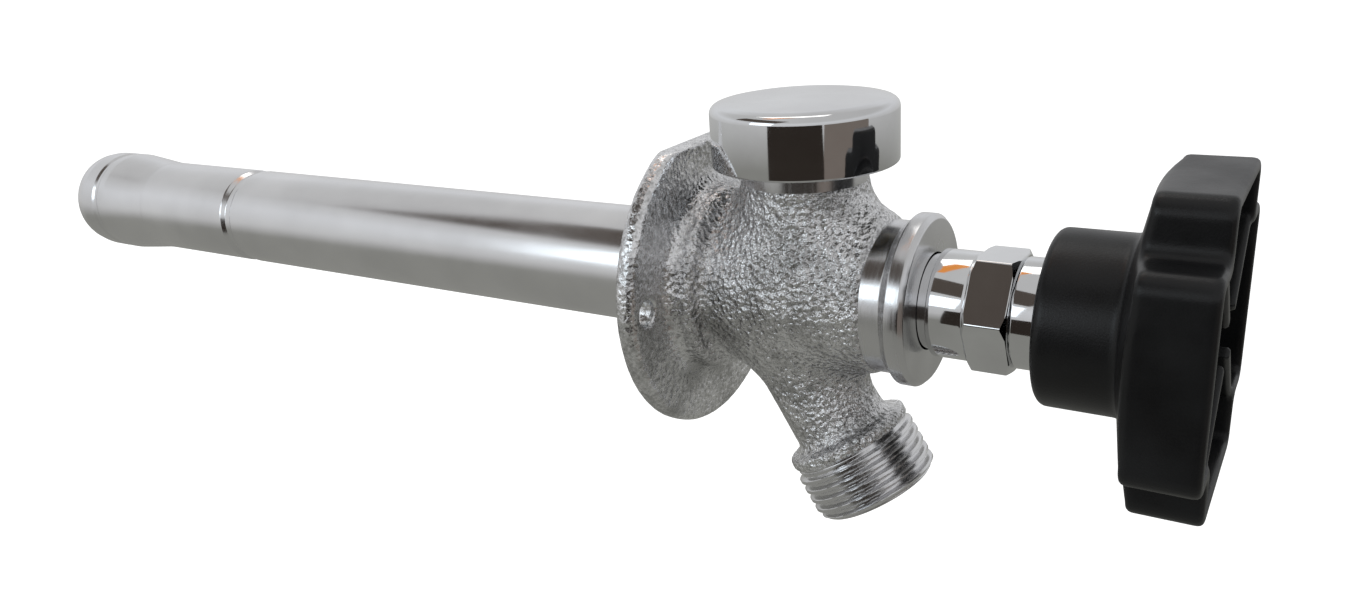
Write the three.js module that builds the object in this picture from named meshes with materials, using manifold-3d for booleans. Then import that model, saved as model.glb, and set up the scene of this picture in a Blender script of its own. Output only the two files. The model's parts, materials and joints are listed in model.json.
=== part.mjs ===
// Frost-free hose bib: wall flange, long supply tube, hose spout, vacuum breaker and handwheel.
// Millimetres. The origin is where the tube's axis meets the flange's back face. +Y runs along
// the tube, into the wall; the handwheel is towards -Y; +Z is up.
import * as THREE from 'three';
import { mergeVertices } from 'three/addons/utils/BufferGeometryUtils.js';
import Module from 'manifold-3d';

const wasm = await Module();
wasm.setup();

// ---- driving dimensions ----
const GAP = 0.3;                    // clearance between pieces that touch
const RUNNING = 0.15;               // radial clearance of a piece that turns or slides in another
const FINE = 40;                    // facets round a large piece
const MEDIUM = 28;                  // facets round a middling piece
const COARSE = 16;                  // facets round a small piece

const TUBE_R = 12.8;
const TUBE_WALL = 1.2;
const TUBE_FRONT = -7.7;            // the tube's front end, inside the casting's socket
const TUBE_REAR = 191;              // the tube's rear end, inside the inlet fitting
const CRIMP_Y = 144;                // rolled groove round the tube
const CRIMP_DEPTH = 0.7;
const CRIMP_HALF = 1.6;

const INLET_R = 14.4;
const INLET_FRONT = 183;
const INLET_TAPER = 14;
const INLET_REAR = 216;
const INLET_ROUND = 3.2;
const BEAD_Y = 204;                 // shallow groove behind the fitting's taper
const CHAMBER_REAR = 199.5;         // floor of the valve chamber round the seat
const VALVE_CHAMBER_R = 10.6;
const SEAT_Y = 198;                 // face that the washer closes on
const SEAT_R = 7;
const SEAT_HOLE_R = 5;
const SOCKET_R = 8;               // supply-pipe socket
const SOCKET_FLOOR = 202;

const FLANGE_R = 32.1;
const FLANGE_T = 4.4;
const FLANGE_HOLE_R = 2.6;
const FLANGE_HOLE_AT = 26.5;          // screw-hole centres, left and right of the tube
const BOSS_R = 19.5;                  // boss where the barrel leaves the flange
const BOSS_Y = -9.5;
const BARREL_R = 15.6;
const BARREL_FRONT = -40.6;
const NECK_R = 15;                  // turned neck behind the collar
const COLLAR_R = 16.8;
const COLLAR_BACK = -47.4;
const COLLAR_FRONT = -52.4;
const COLLAR_CHAMFER = 1.2;
const WATERWAY_R = 8.6;
const WATERWAY_FRONT = -36;
const NUT_THREAD_R = 9.4;

const SPOUT_TILT = 30.9;            // degrees forward of straight down
const SPOUT_Y = -15.05;              // where the spout's axis crosses the tube's
const SPOUT_R = 9.8;
const SPOUT_BORE_R = 7.8;
const SPOUT_MOUTH_R = 9.6;
const SPOUT_MOUTH_DEPTH = 6;
const SPOUT_LENGTH = 51.05;
const SHOULDER_R = 13.2;
const SHOULDER_AT = 37.3;           // along the spout's axis
const SHOULDER_LENGTH = 1.8;
const HOSE_THREAD_R = 13.45;        // 3/4-11.5 hose thread
const HOSE_ROOT_R = 12.3;
const HOSE_PITCH = 2.209;
const HOSE_TURNS = 5;

const BREAKER_Y = -26.3;            // axis of the vacuum breaker
const BREAKER_NECK_R = 12.4;
const BREAKER_NECK_TOP = 28.9;
const CHAMBER_R = 9.4;
const CHAMBER_FLOOR = 14.2;
const FEED_R = 5;                   // hole from the waterway up to the float
const CAP_R = 18.35;
const CAP_BOTTOM = 25.7;
const CAP_TOP = 38.1;
const CAP_ROUND = 1.6;
const CAP_WALL = 1.6;
const LUG_COUNT = 4;
const LUG_WIDTH = 3;
const INSERT_BOTTOM = 23.2;
const INSERT_FLANGE_R = 11.9;
const VENT_R = 5.2;
const FLOAT_R = 8.4;
const FLOAT_TOP = 17.8;
const FLOAT_STEM_R = 3;

const NUT_R = 10.4;
const HEX_FLATS = 21.2;             // across flats
const HEX_BACK = -61.4;
const HEX_FRONT = -69.4;
const HEX_CHAMFER = 1.4;
const HEX_TURN = 3.7;                // degrees, about the stem's axis
const NUT_REAR = -41.3;
const NUT_FRONT = -78.4;
const STEM_R = 4.6;
const STEM_THREAD_R = 6.05;
const STEM_BORE_SHOULDER = -70;
const ROD_R = 3.2;
const ROD_REAR = 190;
const SQUARE = 6.4;                 // across flats of the handle square
const PIN_R = 1.1;
const PIN_Y = -19;

const HUB_BACK = -74.5;
const HUB_R = 16.3;
const HUB_ROUND = 1.6;
const HUB_RECESS_R = 11.4;
const HUB_RECESS_FLOOR = -86;
const LOBES_BACK = -88.8;
const LOBE_DRAFT = 2.6;             // how far the lobes' backs fall away towards their tips
const HANDLE_FRONT = -104.2;
const LOBE_REACH = 27.8;
const LOBE_HALF = 18;
const LOBE_CORNER = 3.6;            // at the lobes' tips
const LOBE_VALLEY = 2.5;            // in the corners between the lobes
const HANDLE_WALL = 2.4;
const HANDLE_TURN = 1.4;              // degrees that the closed handle's lobes lean from upright
const POCKET_FLOOR = -94.5;
const RIB = 2.2;
const RIB_SETBACK = 0.6;            // how far the ribs stand back from the front rim
const SCREW_BOSS_R = 7;
const SCREW_BOSS_FRONT = -99;

// ---- materials ----
function paint(color, roughness, metalness) {
  return new THREE.MeshStandardMaterial({ color, roughness, metalness });
}
const CAST = paint(0xa7a8ab, 0.5, 0.9);
const PLATED = paint(0xb4b5b8, 0.3, 1.0);
const CHROME = paint(0xd4d6da, 0.08, 1.0);
const BRASS = paint(0xb6924e, 0.4, 1.0);
const STEEL = paint(0x9a9ca0, 0.35, 1.0);
const BLACK_PLASTIC = paint(0x17181b, 0.45, 0.0);
const RUBBER = paint(0x1c1c1c, 0.85, 0.0);
const PACKING = paint(0x3a3a3c, 0.9, 0.0);
const NYLON = paint(0xe6e2d4, 0.5, 0.0);

// ---- solids ----
// A three.js geometry as a manifold solid, with shared vertices merged and slivers dropped.
function solid(geometry) {
  const bare = geometry.clone();
  bare.deleteAttribute('normal');
  bare.deleteAttribute('uv');
  const merged = mergeVertices(bare, 1e-4);
  const index = merged.index.array;
  const kept = [];
  for (let i = 0; i < index.length; i += 3) {
    const [a, b, c] = [index[i], index[i + 1], index[i + 2]];
    if (a !== b && b !== c && c !== a) kept.push(a, b, c);
  }
  return new wasm.Manifold(new wasm.Mesh({
    numProp: 3,
    vertProperties: new Float32Array(merged.attributes.position.array),
    triVerts: new Uint32Array(kept),
  }));
}

function geometryOf(body) {
  const mesh = body.getMesh();
  const positions = new THREE.BufferAttribute(new Float32Array(mesh.vertProperties), 3);
  const geometry = new THREE.BufferGeometry();
  geometry.setAttribute('position', positions);
  geometry.setIndex(new THREE.BufferAttribute(new Uint32Array(mesh.triVerts), 1));
  geometry.computeVertexNormals();
  return geometry;
}

// A body of revolution about Y from its [radius, y] corners, given in either winding order.
// A profile that touches the axis starts and ends on it; any other closes on itself.
function turned(corners, facets = FINE) {
  const points = corners.map(([r, y]) => new THREE.Vector2(r, y));
  if (THREE.ShapeUtils.area(points) < 0) points.reverse();
  const onAxis = corners[0][0] === 0;
  if (!onAxis) points.push(points[0].clone());
  return solid(new THREE.LatheGeometry(points, facets));
}

function rod(radius, from, to, facets = FINE) {
  return turned([[0, from], [radius, from], [radius, to], [0, to]], facets);
}

function ring(inner, outer, from, to, facets = FINE) {
  return turned([[inner, from], [outer, from], [outer, to], [inner, to]], facets);
}

// An outline in X and Z, extruded along Y.
function prism(shape, from, to) {
  const depth = Math.abs(to - from);
  const geometry = new THREE.ExtrudeGeometry(shape, { depth, bevelEnabled: false, curveSegments: 4 });
  geometry.rotateX(Math.PI / 2);
  geometry.translate(0, Math.max(from, to), 0);
  return solid(geometry);
}

function block(size, centre) {
  const geometry = new THREE.BoxGeometry(...size);
  geometry.translate(...centre);
  return solid(geometry);
}

// Corners along an arc from angle start to angle end, in degrees, for a turned profile.
function arc(centreR, centreY, radius, start, end, steps = 4) {
  const points = [];
  for (let i = 0; i <= steps; i += 1) {
    const angle = THREE.MathUtils.degToRad(start + ((end - start) * i) / steps);
    points.push([centreR + radius * Math.cos(angle), centreY + radius * Math.sin(angle)]);
  }
  return points;
}

function joined(bodies) {
  return bodies.reduce((sum, body) => sum.add(body));
}

function cut(body, tools) {
  return tools.reduce((left, tool) => left.subtract(tool), body);
}

// From a turned body's own axis to the vacuum breaker's upright axis.
function upright(body) {
  return body.rotate([90, 0, 0]).translate([0, BREAKER_Y, 0]);
}

// From a turned body's own axis to the spout's axis, pointing out of its mouth.
function alongSpout(body) {
  return body.rotate([-90 - SPOUT_TILT, 0, 0]).translate([0, SPOUT_Y, 0]);
}

// ---- head casting ----
function flange() {
  const edge = FLANGE_T / 2;
  return turned([
    [0, 0],
    [FLANGE_R - edge, 0],
    ...arc(FLANGE_R - edge, -edge, edge, 90, -90),
    [0, -FLANGE_T],
  ]);
}

function barrel() {
  return turned([
    [0, -1],
    [BOSS_R + 1.5, -FLANGE_T + 0.5],
    [BOSS_R, -FLANGE_T - 1],
    [BARREL_R, BOSS_Y],
    [BARREL_R, BARREL_FRONT],
    [NECK_R, BARREL_FRONT - 1],
    [NECK_R, COLLAR_BACK],
    [COLLAR_R, COLLAR_BACK - COLLAR_CHAMFER],
    [COLLAR_R, COLLAR_FRONT + COLLAR_CHAMFER / 2],
    [COLLAR_R - COLLAR_CHAMFER / 2, COLLAR_FRONT],
    [0, COLLAR_FRONT],
  ]);
}

function breakerNeck() {
  return upright(turned([
    [0, 0],
    [BARREL_R - 1.2, 0],
    [BARREL_R - 1.2, BARREL_R - 3],
    [BREAKER_NECK_R + 0.8, BARREL_R + 1],
    [BREAKER_NECK_R, BARREL_R + 4],
    [BREAKER_NECK_R, BREAKER_NECK_TOP],
    [0, BREAKER_NECK_TOP],
  ]));
}

// One tooth of the hose thread after another, as rings from the shoulder to the mouth.
function hoseThread() {
  const start = SHOULDER_AT + SHOULDER_LENGTH + 0.4;
  const crest = HOSE_PITCH * 0.3;
  const flank = HOSE_PITCH * 0.2;
  const corners = [[0, start - 2], [HOSE_ROOT_R, start - 2]];
  for (let i = 0; i < HOSE_TURNS; i += 1) {
    const at = start + i * HOSE_PITCH;
    corners.push([HOSE_ROOT_R, at]);
    corners.push([HOSE_THREAD_R, at + flank]);
    corners.push([HOSE_THREAD_R, at + flank + crest]);
    corners.push([HOSE_ROOT_R, at + flank + crest + flank]);
  }
  corners.push([HOSE_ROOT_R, SPOUT_LENGTH], [0, SPOUT_LENGTH]);
  return alongSpout(turned(corners, MEDIUM));
}

function spout() {
  const shoulderEnd = SHOULDER_AT + SHOULDER_LENGTH;
  const neck = alongSpout(turned([
    [0, 0],
    [SPOUT_R + 2, 0],
    [SPOUT_R + 2, BARREL_R - 4],
    [SPOUT_R, BARREL_R + 4],
    [SPOUT_R, SHOULDER_AT - 3],
    [SHOULDER_R, SHOULDER_AT],
    [SHOULDER_R, shoulderEnd],
    [0, shoulderEnd],
  ], MEDIUM));
  return neck.add(hoseThread());
}

function headPassages() {
  const outside = 1;
  const screwHole = rod(FLANGE_HOLE_R, outside, -FLANGE_T - outside, COARSE);
  return [
    rod(TUBE_R + RUNNING, outside, TUBE_FRONT - GAP),
    rod(WATERWAY_R, TUBE_FRONT, WATERWAY_FRONT - outside, MEDIUM),
    rod(NUT_THREAD_R, WATERWAY_FRONT, COLLAR_FRONT - outside, MEDIUM),
    alongSpout(rod(SPOUT_BORE_R, 2, SPOUT_LENGTH + outside, MEDIUM)),
    alongSpout(rod(SPOUT_MOUTH_R, SPOUT_LENGTH - SPOUT_MOUTH_DEPTH, SPOUT_LENGTH + outside, MEDIUM)),
    upright(rod(FEED_R, 3, CHAMBER_FLOOR + outside, COARSE)),
    upright(rod(CHAMBER_R, CHAMBER_FLOOR, BREAKER_NECK_TOP + outside, MEDIUM)),
    screwHole.translate([-FLANGE_HOLE_AT, 0, 0]),
    screwHole.translate([FLANGE_HOLE_AT, 0, 0]),
  ];
}

function headCasting() {
  return cut(joined([flange(), barrel(), breakerNeck(), spout()]), headPassages());
}

// ---- tube and inlet ----
function barrelTube() {
  const inner = TUBE_R - TUBE_WALL;
  return turned([
    [inner, TUBE_FRONT],
    [TUBE_R, TUBE_FRONT],
    [TUBE_R, CRIMP_Y - CRIMP_HALF],
    [TUBE_R - CRIMP_DEPTH, CRIMP_Y - CRIMP_HALF / 2],
    [TUBE_R - CRIMP_DEPTH, CRIMP_Y + CRIMP_HALF / 2],
    [TUBE_R, CRIMP_Y + CRIMP_HALF],
    [TUBE_R, TUBE_REAR],
    [inner, TUBE_REAR],
    [inner, CRIMP_Y + CRIMP_HALF],
    [inner - CRIMP_DEPTH, CRIMP_Y + CRIMP_HALF / 2],
    [inner - CRIMP_DEPTH, CRIMP_Y - CRIMP_HALF / 2],
    [inner, CRIMP_Y - CRIMP_HALF],
  ]);
}

function inletFitting() {
  const tubeSocket = TUBE_R + RUNNING;
  const lip = 0.5;
  return turned([
    [tubeSocket, INLET_FRONT],
    [tubeSocket + lip, INLET_FRONT],
    [INLET_R, INLET_FRONT + INLET_TAPER],
    [INLET_R, BEAD_Y - 1],
    [INLET_R - 0.6, BEAD_Y],
    [INLET_R, BEAD_Y + 1],
    ...arc(INLET_R - INLET_ROUND, INLET_REAR - INLET_ROUND, INLET_ROUND, 0, 90),
    [SOCKET_R, INLET_REAR],
    [SOCKET_R, SOCKET_FLOOR],
    [SEAT_HOLE_R, SOCKET_FLOOR],
    [SEAT_HOLE_R, SEAT_Y],
    [SEAT_R, SEAT_Y],
    [SEAT_R, CHAMBER_REAR],
    [VALVE_CHAMBER_R, CHAMBER_REAR],
    [VALVE_CHAMBER_R, TUBE_REAR + GAP],
    [tubeSocket, TUBE_REAR + GAP],
  ]);
}

// ---- packing nut and seals ----
function hexagon() {
  const circumradius = HEX_FLATS / Math.sqrt(3);
  const height = HEX_BACK - HEX_FRONT;
  const geometry = new THREE.CylinderGeometry(circumradius, circumradius, height, 6);
  geometry.rotateY(THREE.MathUtils.degToRad(90 + HEX_TURN));
  geometry.translate(0, (HEX_BACK + HEX_FRONT) / 2, 0);
  const chamfered = turned([
    [0, HEX_BACK],
    [circumradius - HEX_CHAMFER, HEX_BACK],
    [circumradius, HEX_BACK - HEX_CHAMFER],
    [circumradius, HEX_FRONT + HEX_CHAMFER],
    [circumradius - HEX_CHAMFER, HEX_FRONT],
    [0, HEX_FRONT],
  ]);
  return solid(geometry).intersect(chamfered);
}

function packingNut() {
  const threadR = NUT_THREAD_R - RUNNING;
  const shank = turned([
    [0, NUT_REAR],
    [threadR, NUT_REAR],
    [threadR, COLLAR_FRONT - GAP],
    [NUT_R, COLLAR_FRONT - GAP],
    [NUT_R, NUT_FRONT + 0.6],
    [NUT_R - 0.6, NUT_FRONT],
    [0, NUT_FRONT],
  ]);
  const stemThread = rod(STEM_THREAD_R + RUNNING, NUT_REAR + 1, STEM_BORE_SHOULDER, MEDIUM);
  const stemBore = rod(STEM_R + RUNNING, NUT_REAR + 1, NUT_FRONT - 1, MEDIUM);
  return cut(shank.add(hexagon()), [stemThread, stemBore]);
}

// ---- stem and valve ----
function operatingStem() {
  const rear = -10;
  const threadRear = -45.5;
  const threadFront = -62;
  const squareBack = -79.5;
  const front = -92;
  const orings = { from: -70.2, to: -72.2, root: STEM_R - 1 };
  const round = turned([
    [0, rear],
    [STEM_R, rear],
    [STEM_R, threadRear + 1],
    [STEM_THREAD_R, threadRear],
    [STEM_THREAD_R, threadFront],
    [STEM_R, threadFront - 1],
    [STEM_R, orings.from],
    [orings.root, orings.from],
    [orings.root, orings.to],
    [STEM_R, orings.to],
    [STEM_R, squareBack],
    [0, squareBack],
  ], MEDIUM);
  const square = block([SQUARE, squareBack - front + 1, SQUARE], [0, (squareBack + 1 + front) / 2, 0]);
  const rodSocket = rod(ROD_R + RUNNING, rear + 1, -26, COARSE);
  const screwHole = rod(1.9, -80, front - 1, COARSE);
  return cut(round.add(square), [rodSocket, screwHole, pinHole()]);
}

function pinHole() {
  return crossPin(PIN_R + RUNNING, STEM_R + 2);
}

function crossPin(radius, half) {
  return rod(radius, -half, half, COARSE).rotate([0, 0, 90]).translate([0, PIN_Y, 0]);
}

function stemRod() {
  const grooveFrom = SEAT_Y - 14.8;
  const grooveTo = SEAT_Y - 13.4;
  const body = turned([
    [0, -25.7],
    [ROD_R, -25.7],
    [ROD_R, grooveFrom],
    [ROD_R - 0.7, grooveFrom],
    [ROD_R - 0.7, grooveTo],
    [ROD_R, grooveTo],
    [ROD_R, ROD_REAR],
    [0, ROD_REAR],
  ], COARSE);
  return body.subtract(pinHole());
}

function retainingRing() {
  const slot = block([1.6, 4, 6], [0, SEAT_Y - 14, 4.5]);
  return ring(ROD_R - 0.55, 4.9, SEAT_Y - 14.6, SEAT_Y - 13.6, COARSE).subtract(slot);
}

function washerHolder() {
  const bore = ROD_R + RUNNING;
  const outer = turned([
    [0, SEAT_Y - 17.5],
    [6.2, SEAT_Y - 17.5],
    [9, SEAT_Y - 13.5],
    [9, SEAT_Y - 1.2],
    [7.5, SEAT_Y - 1.2],
    [7.5, SEAT_Y - 3.8],
    [0, SEAT_Y - 3.8],
  ], MEDIUM);
  const hole = rod(bore, SEAT_Y - 19, ROD_REAR + GAP, COARSE);
  const ringGroove = rod(5.2, SEAT_Y - 14.9, SEAT_Y - 13.3, COARSE);
  const screwHole = rod(2.05, SEAT_Y - 6.4, SEAT_Y - 3, COARSE);
  return cut(outer, [hole, ringGroove, screwHole]);
}

function seatScrew() {
  const head = turned([
    [0, SEAT_Y + 0.6],
    [3.6, SEAT_Y + 0.6],
    [3.6, SEAT_Y + 1.6],
    [2.6, SEAT_Y + 2.8],
    [0, SEAT_Y + 2.8],
  ], COARSE);
  const slot = block([0.9, 1.6, 8], [0, SEAT_Y + 2.8, 0]);
  return head.add(rod(1.9, SEAT_Y - 6.1, SEAT_Y + 1, COARSE)).subtract(slot);
}

// ---- handwheel ----
// A cross of four equal lobes with rounded corners, outside and in the re-entrant corners.
function lobedOutline(reach, half, outerRound, innerRound) {
  const shape = new THREE.Shape();
  const quarter = [
    { at: [half, half], round: innerRound },
    { at: [half, reach], round: outerRound },
    { at: [-half, reach], round: outerRound },
  ];
  const corners = [];
  for (let turn = 0; turn < 4; turn += 1) {
    const cos = Math.round(Math.cos((turn * Math.PI) / 2));
    const sin = Math.round(Math.sin((turn * Math.PI) / 2));
    for (const { at: [x, y], round } of quarter) {
      corners.push({ point: new THREE.Vector2(x * cos - y * sin, x * sin + y * cos), round });
    }
  }
  corners.forEach(({ point, round }, i) => {
    const before = corners[(i + corners.length - 1) % corners.length].point;
    const after = corners[(i + 1) % corners.length].point;
    const entry = before.clone().sub(point).setLength(round).add(point);
    const exit = after.clone().sub(point).setLength(round).add(point);
    if (i === 0) shape.moveTo(entry.x, entry.y);
    else shape.lineTo(entry.x, entry.y);
    shape.quadraticCurveTo(point.x, point.y, exit.x, exit.y);
  });
  shape.closePath();
  return shape;
}

function handleBody() {
  const hub = turned([
    [0, HUB_BACK],
    ...arc(HUB_R - HUB_ROUND, HUB_BACK - HUB_ROUND, HUB_ROUND, 90, 0),
    [HUB_R, LOBES_BACK - 1],
    [0, LOBES_BACK - 1],
  ]);
  const outline = lobedOutline(LOBE_REACH, LOBE_HALF, LOBE_CORNER, LOBE_VALLEY);
  const lobes = prism(outline, LOBES_BACK, HANDLE_FRONT);
  const corner = LOBE_REACH * 1.2;
  const draft = turned([
    [HUB_R, LOBES_BACK + 1],
    [corner, LOBES_BACK + 1],
    [corner, LOBES_BACK - LOBE_DRAFT],
    [HUB_R, LOBES_BACK],
  ]);
  return hub.add(lobes.subtract(draft).rotate([0, HANDLE_TURN, 0]));
}

// The hollow front of the handwheel, without its ribs and screw boss.
function handlePockets() {
  const reach = LOBE_REACH - HANDLE_WALL;
  const half = LOBE_HALF - HANDLE_WALL;
  const inset = lobedOutline(reach, half, LOBE_CORNER - HANDLE_WALL, LOBE_VALLEY + HANDLE_WALL / 2);
  const hollow = prism(inset, POCKET_FLOOR, HANDLE_FRONT - 1);
  const depth = POCKET_FLOOR - HANDLE_FRONT;
  const middle = (POCKET_FLOOR + HANDLE_FRONT) / 2;
  const rib = block([RIB, depth - RIB_SETBACK + 1, 2 * LOBE_REACH], [0, middle + (RIB_SETBACK + 1) / 2, 0]);
  const ribs = [rib.rotate([0, 45, 0]), rib.rotate([0, -45, 0])];
  const boss = rod(SCREW_BOSS_R, POCKET_FLOOR + 1, SCREW_BOSS_FRONT, MEDIUM);
  return cut(hollow, [...ribs, boss]).rotate([0, HANDLE_TURN, 0]);
}

function handwheel() {
  const recess = rod(HUB_RECESS_R, HUB_BACK + 1, HUB_RECESS_FLOOR, MEDIUM);
  const hole = SQUARE + 2 * RUNNING;
  const squareHole = block([hole, 8, hole], [0, -88.6, 0]);
  const screwHole = rod(2.4, -90, HANDLE_FRONT - 1, COARSE);
  const screwPocket = rod(5.6, -95.4, HANDLE_FRONT - 1, COARSE);
  return cut(handleBody(), [handlePockets(), recess, squareHole, screwHole, screwPocket]);
}

function handleScrew() {
  const head = turned([
    [0, -96.8],
    [4, -96.8],
    [4, -98.2],
    [2.8, -99.4],
    [0, -99.4],
  ], COARSE);
  const crossSlot = joined([block([1, 1.6, 5], [0, -99.4, 0]), block([5, 1.6, 1], [0, -99.4, 0])]);
  return head.add(rod(1.75, -81, -97, COARSE)).subtract(crossSlot);
}

// ---- vacuum breaker ----
function breakerCap() {
  const inner = CAP_R - CAP_WALL;
  const cup = turned([
    [0, CAP_TOP],
    ...arc(CAP_R - CAP_ROUND, CAP_TOP - CAP_ROUND, CAP_ROUND, 90, 0),
    [CAP_R, CAP_BOTTOM + 0.4],
    [CAP_R - 0.4, CAP_BOTTOM],
    [inner, CAP_BOTTOM],
    [inner, CAP_TOP - CAP_WALL],
    [0, CAP_TOP - CAP_WALL],
  ]);
  const lugInner = BREAKER_NECK_R + RUNNING;
  const lugLength = inner + CAP_WALL / 2 - lugInner;
  const lugHeight = CAP_TOP - CAP_WALL - CAP_BOTTOM;
  const lug = block(
    [lugLength, lugHeight, LUG_WIDTH],
    [lugInner + lugLength / 2, CAP_BOTTOM + 0.5 + lugHeight / 2, 0],
  );
  const lugs = [];
  for (let i = 0; i < LUG_COUNT; i += 1) lugs.push(lug.rotate([0, 45 + (360 / LUG_COUNT) * i, 0]));
  return upright(joined([cup, ...lugs]));
}

function breakerInsert() {
  const plugR = CHAMBER_R - RUNNING;
  return upright(turned([
    [VENT_R, INSERT_BOTTOM],
    [plugR, INSERT_BOTTOM],
    [plugR, BREAKER_NECK_TOP - 4.1],
    [plugR - 1.2, BREAKER_NECK_TOP - 4.1],
    [plugR - 1.2, BREAKER_NECK_TOP - 2.3],
    [plugR, BREAKER_NECK_TOP - 2.3],
    [plugR, BREAKER_NECK_TOP + GAP],
    [INSERT_FLANGE_R, BREAKER_NECK_TOP + GAP],
    [INSERT_FLANGE_R, BREAKER_NECK_TOP + GAP + 1.6],
    [VENT_R, BREAKER_NECK_TOP + GAP + 1.6],
  ], MEDIUM));
}

function breakerSeal() {
  const top = BREAKER_NECK_TOP - 2.5;
  return upright(ring(CHAMBER_R - 1.2, CHAMBER_R - 0.1, top - 1.4, top, MEDIUM));
}

function floatSeal() {
  return upright(ring(FLOAT_STEM_R + RUNNING, 7.6, FLOAT_TOP + GAP, FLOAT_TOP + 2.2, MEDIUM));
}

function breakerFloat() {
  return upright(turned([
    [0, CHAMBER_FLOOR + GAP],
    [FLOAT_R, CHAMBER_FLOOR + GAP],
    [FLOAT_R, FLOAT_TOP],
    [FLOAT_STEM_R, FLOAT_TOP],
    [FLOAT_STEM_R, BREAKER_NECK_TOP - 1.7],
    [0, BREAKER_NECK_TOP - 1.7],
  ], MEDIUM));
}

// ---- assembly ----
function piece(name, body, material) {
  const mesh = new THREE.Mesh(geometryOf(body), material);
  mesh.name = name;
  return mesh;
}

const fixedBody = new THREE.Group();
fixedBody.name = 'hydrant';
fixedBody.add(
  piece('head_casting', headCasting(), CAST),
  piece('barrel_tube', barrelTube(), PLATED),
  piece('inlet_fitting', inletFitting(), PLATED),
  piece('packing_nut', packingNut(), CHROME),
  piece('packing_washer', ring(STEM_R + RUNNING, 9.1, WATERWAY_FRONT - GAP, -37.3, MEDIUM), BRASS),
  piece('packing_ring', ring(STEM_R + RUNNING, 9.1, -37.6, NUT_REAR + GAP, MEDIUM), PACKING),
);

const vacuumBreaker = new THREE.Group();
vacuumBreaker.name = 'vacuum_breaker';
vacuumBreaker.add(
  piece('vb_cap', breakerCap(), CHROME),
  piece('vb_insert', breakerInsert(), BRASS),
  piece('vb_oring', breakerSeal(), RUBBER),
  piece('vb_float', breakerFloat(), NYLON),
  piece('vb_float_seal', floatSeal(), RUBBER),
);

const stem = new THREE.Group();
stem.name = 'stem';
stem.add(
  piece('operating_stem', operatingStem(), BRASS),
  piece('stem_oring', ring(STEM_R - 0.85, STEM_R + 0.05, -70.4, -72, MEDIUM), RUBBER),
  piece('stem_rod', stemRod(), STEEL),
  piece('rod_pin', crossPin(PIN_R, STEM_R - 0.1), STEEL),
  piece('retaining_ring', retainingRing(), STEEL),
);

const valve = new THREE.Group();
valve.name = 'valve';
valve.add(
  piece('washer_holder', washerHolder(), BRASS),
  piece('seat_washer', ring(2.2, 7.3, SEAT_Y - 3.5, SEAT_Y - GAP, MEDIUM), RUBBER),
  piece('washer_retainer', ring(2.2, 4.5, SEAT_Y, SEAT_Y + 0.3, COARSE), BRASS),
  piece('seat_screw', seatScrew(), BRASS),
);

const wheel = new THREE.Group();
wheel.name = 'handwheel';
wheel.add(
  piece('handle', handwheel(), BLACK_PLASTIC),
  piece('handle_washer', ring(2.2, 5, -95.7, -96.5, COARSE), STEEL),
  piece('handle_screw', handleScrew(), STEEL),
);

const hoseBib = new THREE.Group();
hoseBib.name = 'hose_bib';
hoseBib.add(fixedBody, vacuumBreaker, stem, valve, wheel);

export default hoseBib;
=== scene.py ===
"""Looks of the frost-free hose bib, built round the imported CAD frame.

Sizes below are in millimetres and become metres in the meshes. The frame is the CAD's: +Y runs along
the supply tube into the wall, -Y is the handwheel's side, +Z is up.
"""
import json
import math

import bmesh
import bpy
import numpy as np
import openvdb
from mathutils import Matrix, Vector


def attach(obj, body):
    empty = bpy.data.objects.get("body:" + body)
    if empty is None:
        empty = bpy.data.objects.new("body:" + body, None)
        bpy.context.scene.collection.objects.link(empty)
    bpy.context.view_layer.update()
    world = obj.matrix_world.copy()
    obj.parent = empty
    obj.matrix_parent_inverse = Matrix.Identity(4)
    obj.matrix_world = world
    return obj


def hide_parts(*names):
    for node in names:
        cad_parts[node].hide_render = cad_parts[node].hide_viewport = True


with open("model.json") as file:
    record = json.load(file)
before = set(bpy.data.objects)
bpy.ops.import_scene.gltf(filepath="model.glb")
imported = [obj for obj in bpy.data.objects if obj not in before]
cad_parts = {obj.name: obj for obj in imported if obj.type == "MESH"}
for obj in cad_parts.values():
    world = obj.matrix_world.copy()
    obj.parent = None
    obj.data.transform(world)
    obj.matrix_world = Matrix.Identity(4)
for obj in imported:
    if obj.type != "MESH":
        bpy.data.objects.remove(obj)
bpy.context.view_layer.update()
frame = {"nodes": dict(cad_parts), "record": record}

MM = 0.001
SEED = 7

# ---- sizes, from the CAD ----
TUBE_R = 12.8
TUBE_WALL = 1.2
TUBE_FRONT = -7
TUBE_REAR = 190.8
CRIMP_Y = 144
CRIMP_DEPTH = 0.8
INLET_R = 14.4
INLET_FRONT = 183.2
INLET_REAR = 216
BEAD_Y = 204
SEAT_Y = 198
SOCKET_R = 8
SOCKET_FLOOR = 202
FLANGE_R = 32.1
FLANGE_T = 4.4
SCREW_HOLE_AT = 26.5
SCREW_HOLE_R = 2.6
BOSS_R = 19.5
BOSS_Y = -9.5
BARREL_R = 15.6
WATERWAY_R = 9.3
NECK_R = 15
COLLAR_R = 16.8
COLLAR_FRONT = -52.4
SPOUT_TILT = math.radians(30.9)
SPOUT_Y = -15.05
SPOUT_R = 9.8
SPOUT_BORE_R = 7.8
SPOUT_LENGTH = 51.05
SHOULDER_AT = 37.3
SHOULDER_R = 13.2
THREAD_R = 13.45
THREAD_ROOT_R = 12.3
THREAD_PITCH = 2.209
BREAKER_Y = -26.3
BREAKER_NECK_R = 12.4
CAST_NECK_TOP = 22.6
CHAMBER_R = 9.6
CHAMBER_FLOOR = 13.9
CAP_R = 18.35
CAP_BOTTOM = 25.7
CAP_TOP = 38.1
NUT_R = 10.4
HEX_FLATS = 21.2
HEX_BACK = -61.4
HEX_FRONT = -69.4
NUT_REAR = -41.3
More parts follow.
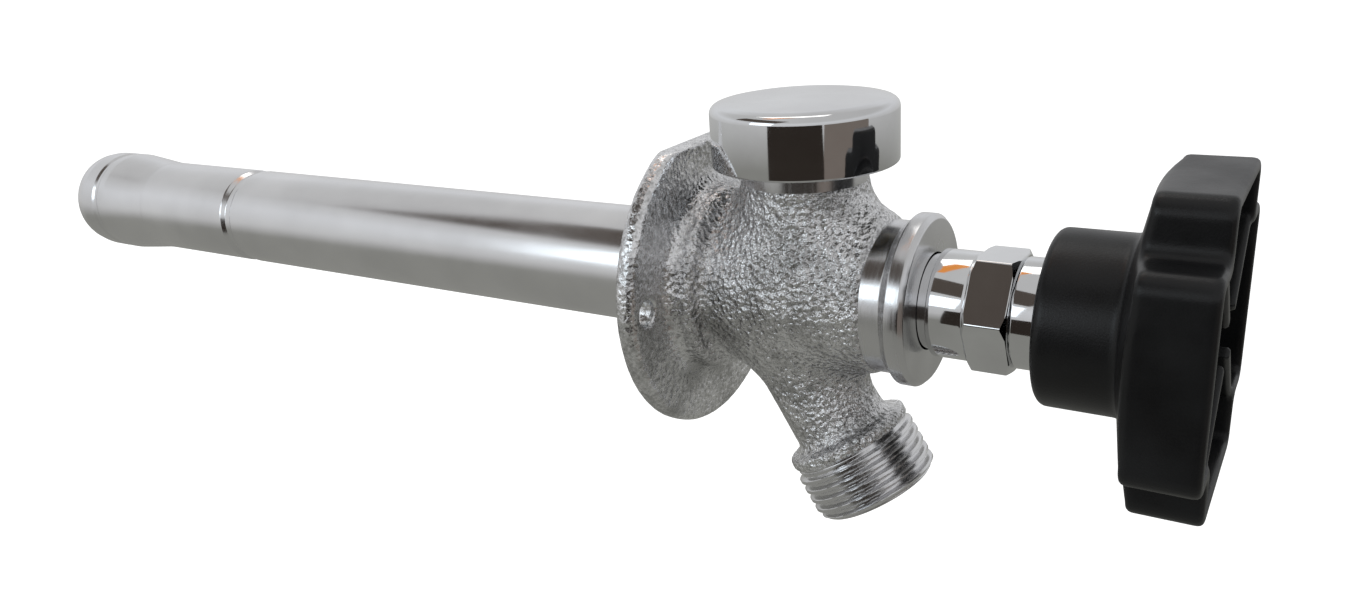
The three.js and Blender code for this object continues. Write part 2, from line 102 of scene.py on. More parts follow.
NUT_SHANK_FRONT = -54.3
NUT_THREAD_R = 9.2
NUT_FRONT = -78.4
HUB_R = 16.3
HUB_BACK = -74.5
LOBES_BACK = -88.8
HANDLE_FRONT = -104.2
LOBE_REACH = 27.8
LOBE_HALF = 18
LOBE_DRAFT = 2.6
HANDLE_TURN = math.radians(1.4)
HANDLE_WALL = 2.4
POCKET_FLOOR = -94.5
HUB_RECESS_R = 11.4
HUB_RECESS_FLOOR = -86
SCREW_BACK = -96.8
SCREW_FRONT = -99.4
HEX_TURN = math.radians(26.3)


# ---- mesh helpers ----
def new_object(name, mesh, material, body, smooth_angle=30):
    """A finished piece: shaded, given its material and fixed to its CAD body."""
    mesh.shade_smooth()
    mesh.set_sharp_from_angle(angle=math.radians(smooth_angle))
    obj = bpy.data.objects.new(name, mesh)
    bpy.context.scene.collection.objects.link(obj)
    mesh.materials.clear()
    mesh.materials.append(material)
    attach(obj, body)
    return obj


def rounded(corners, steps=5):
    """A profile from (r, t) or (r, t, radius) corners, with an arc at each corner that has a radius."""
    points = []
    count = len(corners)
    for i, corner in enumerate(corners):
        here = Vector(corner[:2])
        radius = corner[2] if len(corner) > 2 else 0
        if not radius:
            points.append(tuple(here))
            continue
        before = (Vector(corners[i - 1][:2]) - here).normalized()
        after = (Vector(corners[(i + 1) % count][:2]) - here).normalized()
        half = before.angle(after) / 2
        reach = radius / math.tan(half)
        centre = here + (before + after).normalized() * (radius / math.sin(half))
        start = here + before * reach - centre
        turn = (here + after * reach - centre).angle_signed(start)
        for k in range(steps + 1):
            arm = start.copy()
            arm.rotate(Matrix.Rotation(turn * k / steps, 2))
            points.append(tuple(centre + arm))
    return points


def lathe(profile, segments=160, closed=True):
    """A mesh turned about +Y from (radius, y) points. A profile on the axis isn't closed."""
    bm = bmesh.new()
    rings = []
    for r, y in profile:
        if r < 1e-6:
            rings.append([bm.verts.new((0, y * MM, 0))])
            continue
        ring = []
        for k in range(segments):
            a = 2 * math.pi * k / segments
            ring.append(bm.verts.new((r * math.sin(a) * MM, y * MM, r * math.cos(a) * MM)))
        rings.append(ring)
    pairs = list(zip(rings, rings[1:]))
    if closed:
        pairs.append((rings[-1], rings[0]))
    for low, high in pairs:
        for k in range(segments):
            n = (k + 1) % segments
            if len(low) == 1 and len(high) == 1:
                break
            if len(low) == 1:
                bm.faces.new((low[0], high[n], high[k]))
            elif len(high) == 1:
                bm.faces.new((low[k], low[n], high[0]))
            else:
                bm.faces.new((low[k], low[n], high[n], high[k]))
    bmesh.ops.recalc_face_normals(bm, faces=bm.faces)
    return finish_mesh(bm)


def finish_mesh(bm):
    mesh = bpy.data.meshes.new("mesh")
    bm.to_mesh(mesh)
    bm.free()
    return mesh


def upright(mesh):
    """From a turned mesh's own axis to the vacuum breaker's."""
    mesh.transform(Matrix.Translation((0, BREAKER_Y * MM, 0)) @ Matrix.Rotation(math.pi / 2, 4, "X"))
    return mesh


def along_spout(mesh):
    """From a turned mesh's own axis to the spout's, pointing out of its mouth."""
    turn = Matrix.Rotation(-math.pi / 2 - SPOUT_TILT, 4, "X")
    mesh.transform(Matrix.Translation((0, SPOUT_Y * MM, 0)) @ turn)
    return mesh


def joined(meshes):
    bm = bmesh.new()
    for mesh in meshes:
        bm.from_mesh(mesh)
    return finish_mesh(bm)


def boolean(mesh, tool, operation):
    """mesh cut, joined or intersected with tool by an exact boolean."""
    holder = bpy.data.objects.new("holder", mesh)
    cutter = bpy.data.objects.new("cutter", tool)
    for obj in (holder, cutter):
        bpy.context.scene.collection.objects.link(obj)
    modifier = holder.modifiers.new("boolean", "BOOLEAN")
    modifier.operation = operation
    modifier.object = cutter
    modifier.solver = "EXACT"
    bpy.context.view_layer.update()
    done = holder.evaluated_get(bpy.context.evaluated_depsgraph_get())
    result = bpy.data.meshes.new_from_object(done)
    bpy.data.objects.remove(holder)
    bpy.data.objects.remove(cutter)
    return result


# ---- distance fields, for cast and moulded shapes with fillets ----
class Field:
    """Sample points on a grid, in millimetres, and the surface where a distance over them is zero."""

    def __init__(self, low, high, step):
        self.low = low
        self.step = step
        axes = [np.arange(a, b + step, step, dtype=np.float32) for a, b in zip(low, high)]
        self.x, self.y, self.z = np.meshgrid(*axes, indexing="ij")

    def surface(self, distance):
        band = 3 * self.step
        grid = openvdb.FloatGrid(band)
        grid.copyFromArray(np.clip(distance, -band, band).astype(np.float32))
        points, triangles, quads = grid.convertToPolygons(isovalue=0.0)
        points = (points * self.step + np.array(self.low)) * MM
        mesh = bpy.data.meshes.new("surface")
        mesh.from_pydata(points.tolist(), [], quads[:, ::-1].tolist() + triangles[:, ::-1].tolist())
        bm = bmesh.new()
        bm.from_mesh(mesh)
        bpy.data.meshes.remove(mesh)
        bmesh.ops.recalc_face_normals(bm, faces=bm.faces)
        return finish_mesh(bm)


def merged(a, b, blend):
    """Union with a fillet of about the blend's size."""
    h = np.maximum(blend - np.abs(a - b), 0) / blend
    return np.minimum(a, b) - h * h * blend / 4


def removed(a, b, blend):
    """a without b, with the edge rounded."""
    return -merged(-a, b, blend)


def common(a, b, blend):
    return -merged(-a, -b, blend)


def disc(radial, along, radius, start, end, edge):
    """A round bar between two places along its axis, with rounded edges."""
    middle, half = (start + end) / 2, abs(end - start) / 2
    dr = radial - (radius - edge)
    da = np.abs(along - middle) - (half - edge)
    outside = np.sqrt(np.maximum(dr, 0) ** 2 + np.maximum(da, 0) ** 2)
    return outside + np.minimum(np.maximum(dr, da), 0) - edge


def rectangle(u, v, half_u, half_v, corner):
    du = np.abs(u) - (half_u - corner)
    dv = np.abs(v) - (half_v - corner)
    outside = np.sqrt(np.maximum(du, 0) ** 2 + np.maximum(dv, 0) ** 2)
    return outside + np.minimum(np.maximum(du, dv), 0) - corner


def lattice_noise(field, cell, rng):
    """Smooth random values from -1 to 1 that change over about one cell."""
    coords = [(axis - low) / cell for axis, low in zip((field.x, field.y, field.z), field.low)]
    shape = [int(c.max()) + 2 for c in coords]
    values = rng.uniform(-1, 1, shape).astype(np.float32)
    base = [np.floor(c).astype(np.int32) for c in coords]
    part = [c - b for c, b in zip(coords, base)]
    ease = [p * p * (3 - 2 * p) for p in part]
    total = np.zeros_like(field.x)
    for i in (0, 1):
        for j in (0, 1):
            for k in (0, 1):
                weight = np.ones_like(total)
                for side, e in zip((i, j, k), ease):
                    weight *= e if side else 1 - e
                total += weight * values[base[0] + i, base[1] + j, base[2] + k]
    return total


# ---- materials ----
class Nodes:
    """A material's node tree, with short calls for the nodes used here."""

    def __init__(self, name):
        self.material = bpy.data.materials.new(name)
        self.material.use_nodes = True
        self.tree = self.material.node_tree
        self.shader = self.tree.nodes["Principled BSDF"]
        self.coords = self.tree.nodes.new("ShaderNodeTexCoord").outputs["Object"]

    def set(self, **values):
        for key, value in values.items():
            self.shader.inputs[key.replace("_", " ")].default_value = value

    def link(self, output, node, socket):
        self.tree.links.new(output, node.inputs[socket])

    def scaled(self, scale):
        mapping = self.tree.nodes.new("ShaderNodeMapping")
        mapping.inputs["Scale"].default_value = scale
        self.link(self.coords, mapping, "Vector")
        return mapping.outputs["Vector"]

    def noise(self, scale, detail=3, stretch=None, roughness=0.55):
        node = self.tree.nodes.new("ShaderNodeTexNoise")
        node.inputs["Scale"].default_value = scale
        node.inputs["Detail"].default_value = detail
        node.inputs["Roughness"].default_value = roughness
        self.link(self.scaled(stretch) if stretch else self.coords, node, "Vector")
        return node.outputs["Fac"]

    def cells(self, scale, smoothness=0.4):
        node = self.tree.nodes.new("ShaderNodeTexVoronoi")
        node.feature = "SMOOTH_F1"
        node.inputs["Scale"].default_value = scale
        node.inputs["Smoothness"].default_value = smoothness
        self.link(self.coords, node, "Vector")
        return node.outputs["Distance"]

    def ramp(self, factor, low, high, start=0.3, end=0.7):
        node = self.tree.nodes.new("ShaderNodeMapRange")
        node.inputs["From Min"].default_value = start
        node.inputs["From Max"].default_value = end
        node.inputs["To Min"].default_value = low
        node.inputs["To Max"].default_value = high
        self.link(factor, node, "Value")
        return node.outputs["Result"]

    def colours(self, factor, dark, light, start=0.3, end=0.7):
        node = self.tree.nodes.new("ShaderNodeValToRGB")
        node.color_ramp.elements[0].position = start
        node.color_ramp.elements[0].color = (*dark, 1)
        node.color_ramp.elements[1].position = end
        node.color_ramp.elements[1].color = (*light, 1)
        self.link(factor, node, "Fac")
        return node.outputs["Color"]

    def along_y(self, start, end, low, high):
        """A number that goes from low to high between two places along the object's Y axis, in metres."""
        node = self.tree.nodes.new("ShaderNodeSeparateXYZ")
        self.link(self.coords, node, "Vector")
        return self.ramp(node.outputs["Y"], low, high, start, end)

    def combined(self, a, b, operation="ADD"):
        node = self.tree.nodes.new("ShaderNodeMath")
        node.operation = operation
        self.link(a, node, 0)
        self.link(b, node, 1)
        return node.outputs[0]

    def bump(self, height, depth_mm, strength=1.0):
        node = self.tree.nodes.new("ShaderNodeBump")
        node.inputs["Strength"].default_value = strength
        node.inputs["Distance"].default_value = depth_mm * MM
        self.link(height, node, "Height")
        self.link(node.outputs["Normal"], self.shader, "Normal")

    def colour(self, output):
        self.link(output, self.shader, "Base Color")

    def roughness(self, output):
        self.link(output, self.shader, "Roughness")


def cast_metal():
    """Satin plating over a sand casting: grainy, with darker pits, and finer on the flange."""
    n = Nodes("satin_casting")
    n.set(Metallic=1.0)
    grain = n.noise(1250, detail=2, roughness=0.6)
    pits = n.cells(900)
    broad = n.noise(110, detail=2)
    height = n.combined(grain, pits)
    height = n.combined(height, n.along_y(-0.0095, -0.0035, 1.0, 0.3), "MULTIPLY")
    shade = n.combined(grain, broad, "MULTIPLY")
    n.colour(n.colours(shade, (0.42, 0.42, 0.42), (0.84, 0.84, 0.85), 0.14, 0.32))
    n.roughness(n.ramp(grain, 0.16, 0.32))
    n.bump(height, 0.5)
    return n.material


def machined_metal(name, low, high, rough, streak=(300, 40, 300)):
    """Plated metal with fine streaks along one direction and faint smudges."""
    n = Nodes(name)
    n.set(Metallic=1.0)
    streaks = n.noise(1, detail=4, stretch=streak)
    smudges = n.noise(38, detail=3)
    n.colour(n.colours(smudges, low, high))
    n.roughness(n.combined(n.ramp(streaks, rough[0], rough[1]), n.ramp(smudges, 0.0, 0.06)))
    n.bump(streaks, 0.02, 0.5)
    return n.material


def chrome():
    """Polished plating with smudges and a slow ripple."""
    n = Nodes("polished_chrome")
    n.set(Metallic=1.0)
    smudges = n.noise(55, detail=4)
    ripples = n.noise(120, detail=1)
    n.colour(n.colours(smudges, (0.66, 0.66, 0.67), (0.78, 0.79, 0.8)))
    n.roughness(n.ramp(smudges, 0.035, 0.1))
    n.bump(ripples, 0.02, 0.6)
    return n.material


def black_plastic():
    """Moulded plastic with a fine grain and slightly worn places."""
    n = Nodes("black_plastic")
    grain = n.noise(2600, detail=2)
    wear = n.noise(60, detail=4)
    n.set(Specular_IOR_Level=0.3)
    n.colour(n.colours(wear, (0.005, 0.005, 0.0055), (0.011, 0.0115, 0.0125)))
    n.roughness(n.ramp(wear, 0.28, 0.42))
    n.bump(grain, 0.035, 0.8)
    return n.material


def soft_black(name, colour, rough):
    """Rubber or packing: dark, with a fine grain and lighter dust."""
    n = Nodes(name)
    grain = n.noise(1800, detail=3)
    dust = n.noise(140, detail=3)
    light = tuple(c * 2.2 for c in colour)
    n.colour(n.colours(dust, colour, light))
    n.roughness(n.ramp(grain, rough - 0.08, rough + 0.08))
    n.bump(grain, 0.04, 0.7)
    return n.material


def nylon():
    """Pale moulded plastic for the float."""
    n = Nodes("nylon")
    n.set(Subsurface_Weight=0.1)
    mottle = n.noise(160, detail=3)
    n.colour(n.colours(mottle, (0.68, 0.65, 0.57), (0.82, 0.8, 0.73)))
    n.roughness(n.ramp(mottle, 0.38, 0.52))
    n.bump(mottle, 0.03, 0.5)
    return n.material


def make_materials():
    return {
        "satin_casting": cast_metal(),
        "plated_tube": machined_metal("plated_tube", (0.72, 0.72, 0.73), (0.82, 0.82, 0.83), (0.14, 0.22)),
        "turned_collar": machined_metal("turned_collar", (0.62, 0.62, 0.63), (0.8, 0.8, 0.81), (0.14, 0.26),
                                        (60, 1500, 60)),
        "polished_chrome": chrome(),
        "brass": machined_metal("brass", (0.55, 0.4, 0.17), (0.72, 0.55, 0.27), (0.25, 0.4)),
        "steel": machined_metal("steel", (0.42, 0.43, 0.45), (0.58, 0.59, 0.61), (0.22, 0.36)),
        "packing": soft_black("packing", (0.03, 0.03, 0.031), 0.75),
        "rubber": soft_black("rubber", (0.014, 0.014, 0.014), 0.7),
        "nylon": nylon(),
        "black_plastic": black_plastic(),
    }


# ---- casting ----
def casting_mesh():
    """Flange, barrel, breaker neck and spout as one filleted body with a cast skin."""
    field = Field((-34, -46, -46), (34, 2, 28.5), 0.42)
    x, y, z = field.x, field.y, field.z
    rng = np.random.default_rng(SEED)
    radial = np.sqrt(x * x + z * z)
    flange = disc(radial, y, FLANGE_R, 0, -FLANGE_T, 1.7)
    boss = disc(radial, y, BOSS_R, -0.5, BOSS_Y, 1.6)
    barrel = disc(radial, y, BARREL_R, -1, -43.4, 1)
    body = merged(flange, merged(boss, barrel, 3), 4)
    neck_radial = np.sqrt(x * x + (y - BREAKER_Y) ** 2)
    neck = disc(neck_radial, z, BREAKER_NECK_R, 0, CAST_NECK_TOP, 0.4)
    body = merged(body, neck, 9)
    down, front = math.cos(SPOUT_TILT), math.sin(SPOUT_TILT)
    along = -(y - SPOUT_Y) * front - z * down
    across = (y - SPOUT_Y) * down - z * front
    spout_radial = np.sqrt(x * x + across * across)
    spout = disc(spout_radial, along, SPOUT_R, 0, SHOULDER_AT + 1, 0.5)
    body = merged(body, spout, 8)
    shoulder = disc(spout_radial, along, SHOULDER_R, SHOULDER_AT - 0.8, SHOULDER_AT + 1.8, 0.8)
    body = merged(body, shoulder, 3)
    skin = 0.1 * lattice_noise(field, 3.4, rng) + 0.09 * lattice_noise(field, 1.2, rng)
    skin *= np.clip((-y - 3) / 6, 0.35, 1)
    body = body + skin
    body = removed(body, disc(spout_radial, along, SPOUT_BORE_R, 4, SHOULDER_AT + 20, 0.2), 0.5)
    body = removed(body, disc(radial, y, TUBE_R, 6, TUBE_FRONT, 0.2), 0.4)
    body = removed(body, disc(radial, y, WATERWAY_R, -6, -60, 0.2), 0.4)
    body = removed(body, disc(neck_radial, z, CHAMBER_R, CHAMBER_FLOOR, 40, 0.2), 0.4)
    for side in (-1, 1):
        hole = np.sqrt((x - side * SCREW_HOLE_AT) ** 2 + z * z)
        body = removed(body, disc(hole, y, SCREW_HOLE_R, 4, -9, 0.2), 0.9)
    return field.surface(body)


def hose_thread_mesh():
    """The spout's threaded end: a spiral ridge that runs out at both ends, a flat mouth and the bore."""
    start = SHOULDER_AT + 1.2
    around, steps = 180, 150
    first, last = start + 1.0, SPOUT_LENGTH - 0.5
    s = np.linspace(start, SPOUT_LENGTH - 0.35, steps)
    profile_ends = [(THREAD_ROOT_R - 0.5, SPOUT_LENGTH), (9.8, SPOUT_LENGTH), (9.5, SPOUT_LENGTH - 0.3),
                    (9.5, SPOUT_LENGTH - 6), (SPOUT_BORE_R, SPOUT_LENGTH - 6.5), (SPOUT_BORE_R, start)]
    bm = bmesh.new()
    columns = []
    for k in range(around):
        angle = 2 * math.pi * k / around
        turn = (s - start) / THREAD_PITCH - k / around
        wave = np.abs((turn % 1) - 0.5) * 2
        tooth = np.clip((0.78 - wave) / 0.5, 0, 1)
        tooth = tooth * tooth * (3 - 2 * tooth)
        run = np.clip((s - first) / 0.8, 0, 1) * np.clip((last - s) / 0.9, 0, 1)
        radii = THREAD_ROOT_R + (THREAD_R - THREAD_ROOT_R) * tooth * run
        points = list(zip(radii, s)) + profile_ends
        columns.append([bm.verts.new((r * math.sin(angle) * MM, t * MM, r * math.cos(angle) * MM))
                        for r, t in points])
    count = len(columns[0])
    for k in range(around):
        here, following = columns[k], columns[(k + 1) % around]
        for i in range(count):
            j = (i + 1) % count
            bm.faces.new((here[i], following[i], following[j], here[j]))
    bmesh.ops.recalc_face_normals(bm, faces=bm.faces)
    return along_spout(finish_mesh(bm))


def collar_mesh():
    """The barrel's turned front end: a neck and a rim with chamfers."""
    bore = 9.5
    return lathe(rounded([
        (bore, -41), (NECK_R - 0.4, -41), (NECK_R, -42.4, 0.5), (NECK_R, -47.2, 0.8),
        (COLLAR_R, -48.9, 0.5), (COLLAR_R, -51.5, 0.5), (COLLAR_R - 0.9, COLLAR_FRONT, 0.4),
        (bore, COLLAR_FRONT),
    ]))


def breaker_neck_mesh():
    """The turned top of the breaker's neck, under the cap."""
    outer = BREAKER_NECK_R
    return upright(lathe(rounded([
        (10, 21.5), (outer - 0.5, 21.5), (outer, 22.3, 0.3), (outer, 25.2, 0.3), (outer - 0.7, 25.9, 0.2),
        (outer - 0.7, 28.4), (10, 28.4),
    ])))


# ---- tube and inlet ----
def tube_mesh():
    """The supply tube, with a rolled crimp all round."""
    inner = TUBE_R - TUBE_WALL
    dip = CRIMP_DEPTH
    return lathe(rounded([
        (inner, TUBE_FRONT), (TUBE_R, TUBE_FRONT), (TUBE_R, CRIMP_Y - 2.2, 1.2), (TUBE_R - dip, CRIMP_Y - 0.9, 0.6),
        (TUBE_R - dip, CRIMP_Y + 0.9, 0.6), (TUBE_R, CRIMP_Y + 2.2, 1.2), (TUBE_R, TUBE_REAR),
        (inner, TUBE_REAR), (inner, CRIMP_Y + 2, 1), (inner - dip, CRIMP_Y, 1), (inner, CRIMP_Y - 2, 1),
    ]))


def inlet_mesh():
    """The tube's swollen rear end, with a shallow bead, the supply socket and the valve seat inside."""
    start = TUBE_R - 0.05
    dip = INLET_R - 0.35
    return lathe(rounded([
        (start, INLET_FRONT), (12.82, INLET_FRONT), (12.95, 186), (13.7, 193, 8), (INLET_R, 200, 8),
        (INLET_R, BEAD_Y - 1.4, 0.4), (dip, BEAD_Y - 0.5, 0.4), (dip, BEAD_Y + 0.5, 0.4),
        (INLET_R, BEAD_Y + 1.4, 0.4), (14.35, 210.5, 6), (13.3, INLET_REAR, 3.2), (9.4, INLET_REAR, 0.8),
        (SOCKET_R, INLET_REAR - 1.2, 0.6), (SOCKET_R, SOCKET_FLOOR), (5, SOCKET_FLOOR, 0.3),
        (5, SEAT_Y, 0.3), (7, SEAT_Y, 0.3), (7, SEAT_Y + 1.5), (10.6, SEAT_Y + 1.5), (10.6, TUBE_REAR + 0.6),
        (start, TUBE_REAR + 0.6),
    ]))


# ---- packing nut ----
def nut_mesh():
    """A chamfered hexagon between two round shanks, with the stem's bore through them."""
    radius = HEX_FLATS / math.sqrt(3)
    length = HEX_BACK - HEX_FRONT
    bm = bmesh.new()
    bmesh.ops.create_cone(bm, cap_ends=True, segments=6, radius1=radius * MM, radius2=radius * MM,
                          depth=length * MM)
    bmesh.ops.bevel(bm, geom=bm.edges, offset=0.35 * MM, segments=3, profile=0.5, affect="EDGES")
    hexagon = finish_mesh(bm)
    turn = Matrix.Rotation(math.pi / 2, 4, "X") @ Matrix.Rotation(HEX_TURN, 4, "Z")
    hexagon.transform(Matrix.Translation((0, (HEX_BACK + HEX_FRONT) / 2 * MM, 0)) @ turn)
    chamfer = 1.5
    cone = lathe([
        (0, HEX_BACK + 0.01), (radius - chamfer, HEX_BACK + 0.01), (radius + 0.3, HEX_BACK - 1.1),
        (radius + 0.3, HEX_FRONT + 1.1), (radius - chamfer, HEX_FRONT - 0.01), (0, HEX_FRONT - 0.01),
    ], closed=False)
    body = boolean(hexagon, cone, "INTERSECT")
    back = lathe(rounded([
        (NUT_THREAD_R, NUT_REAR), (NUT_THREAD_R, NUT_SHANK_FRONT), (NUT_R, NUT_SHANK_FRONT, 0.3),
        (NUT_R, HEX_BACK + 0.5, 0.5), (NUT_R - 0.7, HEX_BACK - 0.6), (6.3, HEX_BACK - 0.6), (6.3, NUT_REAR),
    ]))
    front = lathe(rounded([
        (6.3, HEX_FRONT + 0.6), (NUT_R - 0.7, HEX_FRONT + 0.6), (NUT_R, HEX_FRONT - 0.5, 0.5),
        (NUT_R, NUT_FRONT, 0.8), (5.2, NUT_FRONT, 0.4), (4.75, NUT_FRONT + 0.6), (4.75, -70), (6.3, -70),
    ]))
    return joined([body, back, front])


# ---- vacuum breaker cap ----
def cap_mesh():
    """A thin-walled cap with a soft top edge and a barely domed top."""
    inner = CAP_R - 1.6
    return upright(lathe(rounded([
        (0, CAP_TOP + 0.12), (CAP_R - 3.2, CAP_TOP, 6), (CAP_R, CAP_TOP - 0.6, 1.7),
        (CAP_R, CAP_BOTTOM + 0.2, 0.5), (CAP_R - 0.9, CAP_BOTTOM, 0.4), (inner, CAP_BOTTOM + 0.3, 0.3),
        (inner, CAP_TOP - 1.6, 0.8), (0, CAP_TOP - 1.6),
    ]), closed=False))


# ---- handwheel ----
def handle_mesh():
    """A round hub that carries four wide lobes, hollowed from the front into ribbed pockets."""
    field = Field((-32.5, -106.2, -32.5), (32.5, -72.5, 32.5), 0.38)
    x, y, z = field.x, field.y, field.z
    radial = np.sqrt(x * x + z * z)
    u = x * math.cos(HANDLE_TURN) - z * math.sin(HANDLE_TURN)
    w = x * math.sin(HANDLE_TURN) + z * math.cos(HANDLE_TURN)

    def lobes(inset, corner):
        reach, half = LOBE_REACH - inset, LOBE_HALF - inset
        return merged(rectangle(u, w, half, reach, corner), rectangle(u, w, reach, half, corner), 3)

    back = y - LOBES_BACK + np.clip((radial - HUB_R) / (LOBE_REACH - HUB_R), 0, 1.2) * LOBE_DRAFT
    head = common(common(lobes(0, 3.6), back, 1.4), HANDLE_FRONT - y, 1.4)
    hub = disc(radial, y, HUB_R, HUB_BACK, LOBES_BACK - 4, 1.6)
    body = merged(head, hub, 1.4)
    pocket = common(lobes(HANDLE_WALL, 1.6), y - POCKET_FLOOR, 1.2)
    ribs = np.minimum(np.abs(u + w), np.abs(u - w)) / math.sqrt(2) - 1.1
    ribs = common(ribs, HANDLE_FRONT + 0.6 - y, 0.6)
    boss = disc(radial, y, 7, -90, -99, 0.6)
    pocket = removed(pocket, np.minimum(ribs, boss), 0.8)
    body = removed(body, pocket, 0.8)
    body = removed(body, disc(radial, y, 5.6, -95.4, -120, 0.3), 0.5)
    body = removed(body, disc(radial, y, HUB_RECESS_R, -60, HUB_RECESS_FLOOR, 0.5), 0.6)
    body = removed(body, disc(radial, y, 3.4, -60, -120, 0.2), 0.4)
    return field.surface(body)


def handle_screw_mesh():
    """A domed head with a cross slot, and its shank."""
    head = lathe(rounded([
        (0, SCREW_BACK), (4, SCREW_BACK), (4, SCREW_BACK - 1.1, 0.4), (2.9, SCREW_FRONT + 0.3, 0.9),
        (0, SCREW_FRONT),
    ]), segments=96, closed=False)
    bm = bmesh.new()
    for size in ((5.2, 2.2, 0.95), (0.95, 2.2, 5.2)):
        placed = Matrix.Translation((0, SCREW_FRONT * MM, 0)) @ Matrix.Diagonal([s * MM for s in size] + [1])
        bmesh.ops.create_cube(bm, size=1, matrix=placed)
    head = boolean(head, finish_mesh(bm), "DIFFERENCE")
    shank = lathe([(0, -81), (1.75, -81), (1.75, -97), (0, -97)], segments=48, closed=False)
    return joined([head, shank])


# ---- the model ----
def build_model(materials):
    """Replaces the outer CAD nodes with finished pieces and gives the inner ones their materials."""
    m = materials
    outer = [
        ("casting", casting_mesh, "satin_casting", "hydrant", "satin_casting", 60, "head_casting"),
        ("hose_thread", hose_thread_mesh, "turned_collar", "hydrant", "satin_casting", 40, None),
        ("collar", collar_mesh, "turned_collar", "hydrant", "satin_casting", 30, None),
        ("breaker_neck", breaker_neck_mesh, "turned_collar", "hydrant", "satin_casting", 30, None),
        ("supply_tube", tube_mesh, "plated_tube", "hydrant", "plated_tube", 30, "barrel_tube"),
        ("inlet", inlet_mesh, "plated_tube", "hydrant", "plated_tube", 30, "inlet_fitting"),
        ("nut", nut_mesh, "polished_chrome", "hydrant", "polished_chrome", 22, "packing_nut"),
        ("breaker_cap", cap_mesh, "polished_chrome", "hydrant", "polished_chrome", 30, "vb_cap"),
        ("handwheel", handle_mesh, "black_plastic", "stem", "black_plastic", 60, "handle"),
        ("wheel_screw", handle_screw_mesh, "steel", "stem", "steel", 30, "handle_screw"),
    ]
    for name, make, material, body, cad_slot, angle, node in outer:
        piece = new_object(name, make(), m[material], body, angle)
        if node:
            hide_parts(node)
    slots = {part["node"]: part["material_slot"] for part in frame["record"]["subparts"]}
    for node, obj in frame["nodes"].items():
        obj.data.materials.clear()
        obj.data.materials.append(m[slots[node]])


# ---- stage ----
def set_rays(obj, camera, glossy, diffuse):
    obj.visible_camera = camera
    obj.visible_glossy = glossy
    obj.visible_diffuse = diffuse
    obj.visible_transmission = False
    obj.visible_shadow = False


def glow(name, colour, strength, base=0.0):
    material = bpy.data.materials.new(name)
    material.use_nodes = True
    shader = material.node_tree.nodes["Principled BSDF"]
    shader.inputs["Base Color"].default_value = (base, base, base, 1)
    shader.inputs["Roughness"].default_value = 1
    shader.inputs["Specular IOR Level"].default_value = 0
    shader.inputs["Emission Color"].default_value = (*colour, 1)
    shader.inputs["Emission Strength"].default_value = strength
    return material


def aim(obj, location, target, roll=0.0):
    direction = Vector(target) - Vector(location)
    obj.location = location
    turn = direction.to_track_quat("-Z", "Y").to_matrix() @ Matrix.Rotation(roll, 3, "Z")
    obj.rotation_euler = turn.to_euler()


def towards(azimuth, elevation, distance):
    """A place seen from the object: azimuth 0 is along -X and 90 along +Y."""
    a, e = math.radians(azimuth), math.radians(elevation)
    return Vector((-math.cos(a) * math.cos(e), math.sin(a) * math.cos(e), math.sin(e))) * distance


def card(name, azimuth, elevation, distance, size, colour, strength=1.0):
    """A flat reflector that only shows as a reflection."""
    bpy.ops.mesh.primitive_plane_add(size=1)
    obj = bpy.context.object
    obj.name = name
    obj.scale = (*size, 1)
    aim(obj, towards(azimuth, elevation, distance), (0, -0.02, 0))
    obj.data.materials.append(glow(name, colour, strength))
    set_rays(obj, camera=False, glossy=True, diffuse=False)


def softbox(name, azimuth, elevation, distance, size, radiance, colour):
    light = bpy.data.lights.new(name, "AREA")
    light.shape = "RECTANGLE"
    light.size, light.size_y = size
    light.energy = radiance * math.pi * size[0] * size[1]
    light.color = colour
    obj = bpy.data.objects.new(name, light)
    bpy.context.scene.collection.objects.link(obj)
    aim(obj, towards(azimuth, elevation, distance), (0, -0.02, 0))


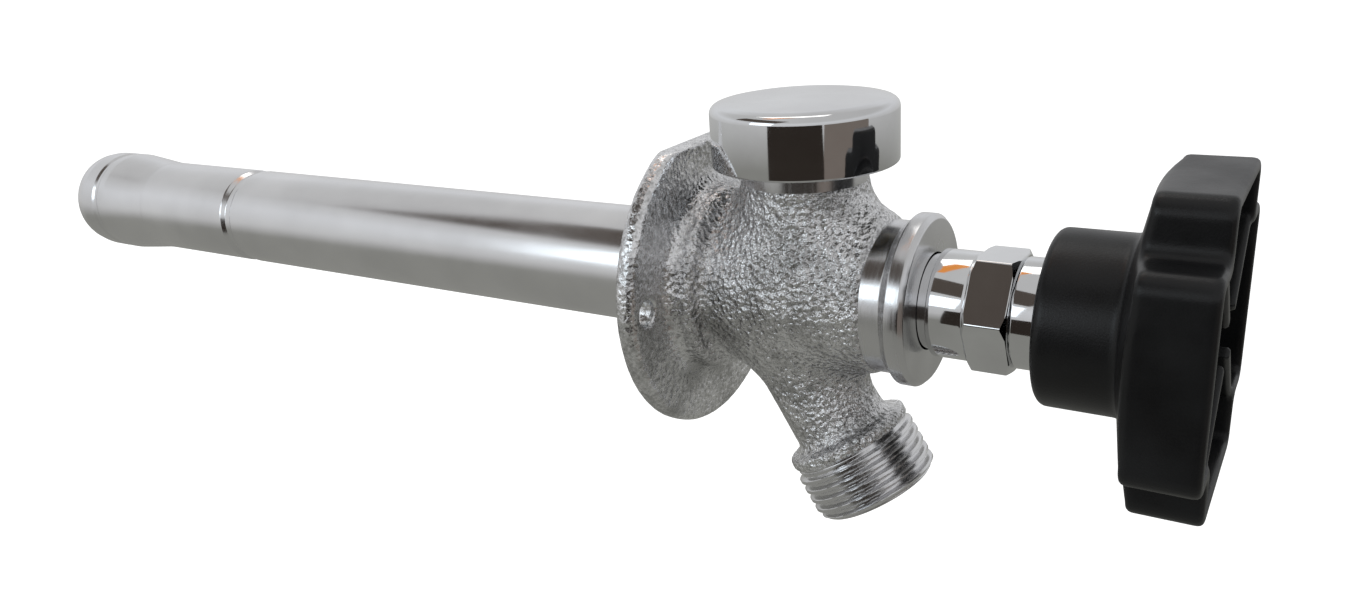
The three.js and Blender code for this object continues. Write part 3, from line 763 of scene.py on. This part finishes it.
def build_world():
    """Soft studio surroundings: a bright band round the horizon, dim above it, grey below."""
    world = bpy.data.worlds.new("studio")
    world.use_nodes = True
    tree = world.node_tree
    coords = tree.nodes.new("ShaderNodeTexCoord")
    split = tree.nodes.new("ShaderNodeSeparateXYZ")
    height = tree.nodes.new("ShaderNodeMapRange")
    height.inputs["From Min"].default_value = -1
    ramp = tree.nodes.new("ShaderNodeValToRGB")
    stops = [(-1, (0.28, 0.28, 0.26)), (-0.3, (0.28, 0.28, 0.26)), (-0.06, (0.62, 0.62, 0.62)),
             (0.35, (0.75, 0.76, 0.78)), (0.6, (0.6, 0.6, 0.6)), (1, (0.6, 0.6, 0.6))]
    for _ in range(len(stops) - 2):
        ramp.color_ramp.elements.new(0.5)
    for element, (z, colour) in zip(ramp.color_ramp.elements, stops):
        element.position = (z + 1) / 2
        element.color = (*colour, 1)
    tree.links.new(coords.outputs["Generated"], split.inputs["Vector"])
    tree.links.new(split.outputs["Z"], height.inputs["Value"])
    tree.links.new(height.outputs["Result"], ramp.inputs["Fac"])
    tree.links.new(ramp.outputs["Color"], tree.nodes["Background"].inputs["Color"])
    bpy.context.scene.world = world


def build_stage():
    scene = bpy.context.scene
    scene.view_settings.view_transform = "Standard"
    build_world()
    bpy.ops.mesh.primitive_plane_add(size=24, location=(0, 0, -0.2))
    floor = bpy.context.object
    floor.name = "floor"
    floor.data.materials.append(glow("floor", (1, 1, 1), 0.8, base=0.6))
    set_rays(floor, camera=True, glossy=False, diffuse=False)
    bpy.ops.mesh.primitive_uv_sphere_add(radius=11, segments=48, ring_count=24)
    backdrop = bpy.context.object
    backdrop.name = "backdrop"
    backdrop.data.materials.append(glow("backdrop", (1, 1, 1), 1))
    set_rays(backdrop, camera=True, glossy=False, diffuse=False)
    softbox("window", 26, 20, 1.0, (0.5, 0.35), 1.7, (0.8, 0.92, 1))
    softbox("top_light", 150, 62, 1.2, (0.5, 0.4), 1.5, (1, 0.98, 0.95))
    card("dark_card", -16, -11, 0.8, (1.0, 0.45), (0.03, 0.024, 0.02))
    card("brown_card", -77, -11, 0.85, (0.9, 0.45), (0.2, 0.17, 0.15))
    card("overhead_card", 40, 50, 0.9, (0.9, 0.4), (0.09, 0.075, 0.065))
    card("orange_card", 115, 72, 0.8, (0.35, 0.1), (0.9, 0.33, 0.07))


def build_camera():
    """The viewing place of the reference view, with a moderate wide lens."""
    camera = bpy.data.cameras.new("camera")
    camera.sensor_width = 36
    camera.lens = 28.82
    camera.clip_start = 0.01
    obj = bpy.data.objects.new("camera", camera)
    bpy.context.scene.collection.objects.link(obj)
    aim(obj, (-0.18918, -0.11712, 0.07336), (-0.0317, -0.0142, 0.0054), math.radians(-4.16))
    bpy.context.scene.camera = obj


def main():
    build_camera()
    build_model(make_materials())
    build_stage()


main()
